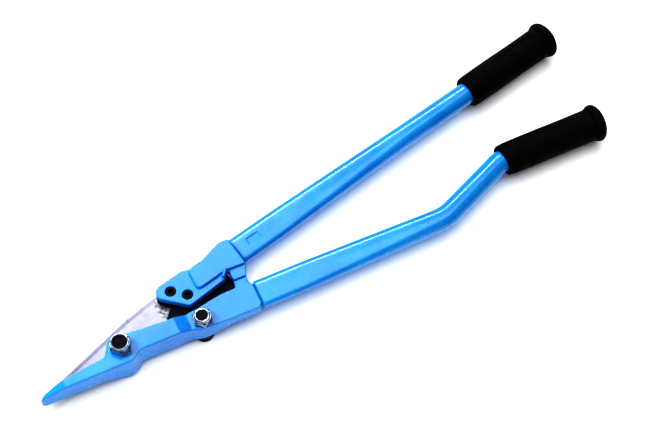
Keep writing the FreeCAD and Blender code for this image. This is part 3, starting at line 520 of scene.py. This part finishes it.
def tube_skin(name, route, taper_end, body, node, dent=None):
    """Drawn tube, flattened over the tang, with a rolled lip at its mouth."""
    count = 160
    outer, inner = [], []
    lip = 1.4
    for point, direction, distance in route:
        wide, thick, power = tube_shape(distance, taper_end)
        ease = lip * (1 - math.sqrt(1 - (1 - min(1.0, distance / lip)) ** 2)) if distance < lip else 0.0
        outer.append(section(point, direction, wide - 2 * ease, thick - 2 * ease, power, count))
        inner.append(section(point, direction, *tube_shape(distance, taper_end, WALL), count))
    if dent:
        outer = [[dent(point) for point in ring] for ring in outer]
    rings = outer + inner[::-1]
    mesh = bpy.data.meshes.new(name)
    shape = skin_rings([[place(*point) for point in ring] for ring in rings])
    shape.to_mesh(mesh)
    shape.free()
    shade_smooth(mesh, 50)
    return make_piece(name, mesh, body, TUBE_BLUE, node)


def refine(route, fine_to, step):
    """Adds stations between the first ones, so that the lip and the crimp are sharp."""
    direction = route[0][1]
    start = route[0][0]
    near = [0.0, 0.05, 0.15, 0.3, 0.5, 0.75, 1.0, 1.2, 1.4]
    distance = 1.4 + step
    while distance < fine_to:
        near.append(distance)
        distance += step
    return [(start + direction * d, direction, d) for d in near] + [s for s in route if s[2] > fine_to]


lower_points = [Vector((LOWER_START + MOUTH_GAP, 0, HANDLE_LEVEL)), Vector((BEND_START, 0, HANDLE_LEVEL)),
                Vector((BEND_END, GRIP_OFFSET, HANDLE_LEVEL)), Vector((LOWER_END, GRIP_OFFSET, HANDLE_LEVEL))]
lower_route = refine(bent_route(lower_points, [BEND_RADIUS, GRIP_BEND], 4), 6, 1.0)
tube_skin("lower_handle_tube_drawn", lower_route, LOWER_TAPER, "lower_arm", "lower_handle_tube")

handle_axis = Vector((math.cos(HANDLE_ANGLE), math.sin(HANDLE_ANGLE), 0))
handle_side = Vector((-handle_axis.y, handle_axis.x, 0))
shoulder = Vector((*UPPER_START, HANDLE_LEVEL))
upper_points = [shoulder + handle_axis * MOUTH_GAP, shoulder + handle_axis * UPPER_LENGTH]


def crimp(point):
    """Presses a small rectangle into the front of the tube over the tang."""
    offset = point - shoulder
    along, across = offset.dot(handle_axis), offset.dot(handle_side)
    if offset.z < 0:
        return point
    reach = max(abs(along - CRIMP_AT) - CRIMP_HALF_LONG, abs(across) - CRIMP_HALF_WIDE)
    depth = CRIMP_DEPTH * (1 - blend_in(reach, 0.0, CRIMP_EDGE))
    return point - Vector((0, 0, depth))


upper_route = refine(bent_route(upper_points, [], 4), 34, 0.45)
tube_skin("upper_handle_tube_drawn", upper_route, UPPER_TAPER, "upper_lever", "upper_handle_tube", crimp)

# ---------------------------------------------------------------- grips


def grip_profile(length):
    """(along, radius) from the inside of the mouth over the outside to the middle of the end."""
    radius, flange = 16.4, 19.15
    points = [(6.0, TUBE / 2 + 0.06), (1.2, TUBE / 2 + 0.06)]

    def bow(centre, size, start, end, pieces):
        for index in range(pieces + 1):
            angle = math.radians(start + (end - start) * index / pieces)
            points.append((centre[0] + size * math.cos(angle), centre[1] + size * math.sin(angle)))

    bow((2.9, radius - 3.5), 2.9, 205, 105, 8)
    for along in range(7, int(length) - 13, 2):
        points.append((float(along), radius - 0.12 * math.cos(along / 11.0)))
    bow((length - 12.0, radius + 1.4), 1.4, 270, 330, 5)
    bow((length - 5.2, flange - 5.6), 5.6, 150, 30, 16)
    bow((length - 2.4, flange - 8.2), 4.7, 40, 84, 7)
    for share in (0.8, 0.55, 0.3, 0.08):
        points.append((length + 2.35 - 0.2 * share, (flange - 8.2) * share))
    points.append((length + 2.35, 0.0))
    return points


def grip_skin(name, mouth, direction, length, curl, body, node, seed):
    """Turned rubber sleeve with an uneven skin, whose first part, curl long, follows the tube's bend."""
    count = 128
    side = Vector((-direction.y, direction.x, 0))

    def station(along):
        """Middle of the sleeve and the direction across it."""
        turn = max(0.0, curl - along) / GRIP_BEND
        across = side * math.cos(turn) - direction * math.sin(turn)
        back = direction * (-GRIP_BEND * math.sin(turn)) - side * (GRIP_BEND * (1 - math.cos(turn)))
        return mouth + direction * max(curl, along) + back, across

    mesh = bmesh.new()
    rows = []
    profile = grip_profile(length)
    for along, radius in profile[:-1]:
        centre, across = station(along)
        row = []
        for index in range(count):
            angle = 2 * math.pi * index / count
            ray = across * math.cos(angle) + Vector((0, 0, math.sin(angle)))
            point = centre + ray * radius
            if TUBE / 2 + 1 < radius < 17.5:
                point = point + ray * noise.noise(Vector((along / 14, angle * 1.5, seed))) * 0.12
            row.append(mesh.verts.new(place(*point)))
        rows.append(row)
    for row, following in zip(rows, rows[1:]):
        for index in range(count):
            after = (index + 1) % count
            mesh.faces.new((row[index], row[after], following[after], following[index]))
    tip = mesh.verts.new(place(*station(profile[-1][0])[0]))
    inside = mesh.verts.new(place(*station(profile[0][0])[0]))
    for index in range(count):
        after = (index + 1) % count
        mesh.faces.new((rows[-1][index], rows[-1][after], tip))
        mesh.faces.new((rows[0][after], rows[0][index], inside))
    bmesh.ops.recalc_face_normals(mesh, faces=mesh.faces)
    data = bpy.data.meshes.new(name)
    mesh.to_mesh(data)
    mesh.free()
    shade_smooth(data, 60)
    return make_piece(name, data, body, RUBBER, node)


# The lower sleeve reaches a little way onto the bend that ends at X 420.4.
grip_skin("lower_grip_sleeve", Vector((LOWER_GRIP_X, GRIP_OFFSET, HANDLE_LEVEL)), Vector((1, 0, 0)),
          LOWER_GRIP_LENGTH, LOWER_GRIP_CURL, "lower_arm", "lower_grip", 1.0)
grip_skin("upper_grip_sleeve", shoulder + handle_axis * UPPER_GRIP_REACH, handle_axis,
          UPPER_GRIP_LENGTH, 0.0, "upper_lever", "upper_grip", 5.0)

# ---------------------------------------------------------------- machined nodes

for node, finish in NODE_FINISH.items():
    data = frame["nodes"][node].data
    data.materials.clear()
    data.materials.append(finish)

bevelled("moving_blade", 0.00025)
bevelled("fixed_blade", 0.0002)
bevelled("drive_plate", 0.0004)
bevelled("blade_pivot_nut", 0.0002)
bevelled("lever_pivot_nut", 0.0002)

# ---------------------------------------------------------------- floor, light and camera


def make_floor():
    mesh = bpy.data.meshes.new("floor")
    grid = bmesh.new()
    bmesh.ops.create_grid(grid, x_segments=8, y_segments=8, size=4.0)
    grid.to_mesh(mesh)
    grid.free()
    mesh.materials.append(floor_finish("floor_pale"))
    floor = bpy.data.objects.new("floor", mesh)
    floor.location.z = -0.0005
    bpy.context.scene.collection.objects.link(floor)
    return floor


def leave_out(lamp, thing):
    """The lamp lights everything but this thing."""
    group = bpy.data.collections.new(lamp.name + "_left_out")
    group.objects.link(thing)
    group.collection_objects[0].light_linking.link_state = "EXCLUDE"
    lamp.light_linking.receiver_collection = group


def light_only(lamp, thing):
    """The lamp lights this thing alone, and nothing shades it."""
    group = bpy.data.collections.new(lamp.name + "_only")
    group.objects.link(thing)
    lamp.light_linking.receiver_collection = group
    lamp.light_linking.blocker_collection = bpy.data.collections.new(lamp.name + "_no_shade")


def area_light(name, offset, size, power, only=None, diffuse_only=False, mirror_only=False):
    """A soft box that looks at the middle of the tool."""
    data = bpy.data.lights.new(name, "AREA")
    data.shape = "RECTANGLE"
    data.size, data.size_y = size
    data.energy = power
    lamp = bpy.data.objects.new(name, data)
    middle = (cad_box[0] + cad_box[1]) / 2
    lamp.location = middle + Vector(offset)
    lamp.rotation_mode = "QUATERNION"
    lamp.rotation_quaternion = (-Vector(offset)).to_track_quat("-Z", "Y")
    bpy.context.scene.collection.objects.link(lamp)
    lamp.visible_glossy = not diffuse_only
    lamp.visible_diffuse = not mirror_only
    if only:
        light_only(lamp, only)
    return lamp


def make_world():
    """White sky, brightest over the back of the jaw and dark on the viewer's side and past the grips."""
    world = bpy.data.worlds.new("studio")
    bpy.context.scene.world = world
    world.use_nodes = True
    nodes, links = world.node_tree.nodes, world.node_tree.links
    coords = nodes.new("ShaderNodeTexCoord").outputs["Generated"]
    toward = nodes.new("ShaderNodeVectorMath")
    toward.operation = "DOT_PRODUCT"
    toward.inputs[1].default_value = Vector((-0.5, 0.6, 0.6)).normalized()
    links.new(coords, toward.inputs[0])
    ramp = nodes.new("ShaderNodeValToRGB")
    ramp.color_ramp.elements[0].position = 0.0
    ramp.color_ramp.elements[0].color = (0.1, 0.12, 0.15, 1)
    ramp.color_ramp.elements[1].position = 0.9
    ramp.color_ramp.elements[1].color = (1, 1, 1, 1)
    shift = nodes.new("ShaderNodeMapRange")
    shift.inputs["From Min"].default_value = -1.0
    shift.inputs["From Max"].default_value = 1.0
    links.new(toward.outputs["Value"], shift.inputs["Value"])
    links.new(shift.outputs["Result"], ramp.inputs["Fac"])
    links.new(ramp.outputs["Color"], nodes["Background"].inputs["Color"])
    nodes["Background"].inputs["Strength"].default_value = 0.24


def make_camera():
    """Long lens above the sole side of the tool, a little to the jaw's side."""
    azimuth, elevation = math.radians(-24.55), math.radians(63.0)
    back = Vector((math.sin(azimuth) * math.cos(elevation), -math.cos(azimuth) * math.cos(elevation),
                   math.sin(elevation)))
    data = bpy.data.cameras.new("camera")
    data.sensor_width = 36
    data.lens = 94.0
    data.clip_start, data.clip_end = 0.1, 20
    camera = bpy.data.objects.new("camera", data)
    camera.location = place(229.3, 43.3, 0) + back * 1.642
    camera.rotation_mode = "QUATERNION"
    camera.rotation_quaternion = (-back).to_track_quat("-Z", "Y")
    bpy.context.scene.collection.objects.link(camera)
    bpy.context.scene.camera = camera


floor = make_floor()
make_world()
lamps = [
    area_light("key_light", (-0.95, 0.35, 1.1), (0.35, 0.35), 11, diffuse_only=True),
    area_light("overhead_box", (-0.1, 0.65, 1.4), (0.6, 0.6), 3.8),
    area_light("top_fill", (-0.4, -0.1, 1.4), (0.9, 0.9), 3, diffuse_only=True),
    area_light("front_fill", (-0.3, -1.3, 0.5), (1.2, 0.5), 0.6, diffuse_only=True),
    area_light("long_strip", (0.25, 1.0, 1.02), (1.3, 0.1), 14, mirror_only=True),
    area_light("handle_box", (0.25, -0.17, 1.4), (1.2, 0.86), 9.5, mirror_only=True),
]
for lamp in lamps:
    leave_out(lamp, floor)
area_light("table_light", (0.0, 0.0, 3.0), (3.0, 3.0), 105, only=floor)
make_camera()
bpy.context.scene.view_settings.view_transform = "Standard"
bpy.context.scene.view_settings.look = "Very High Contrast"
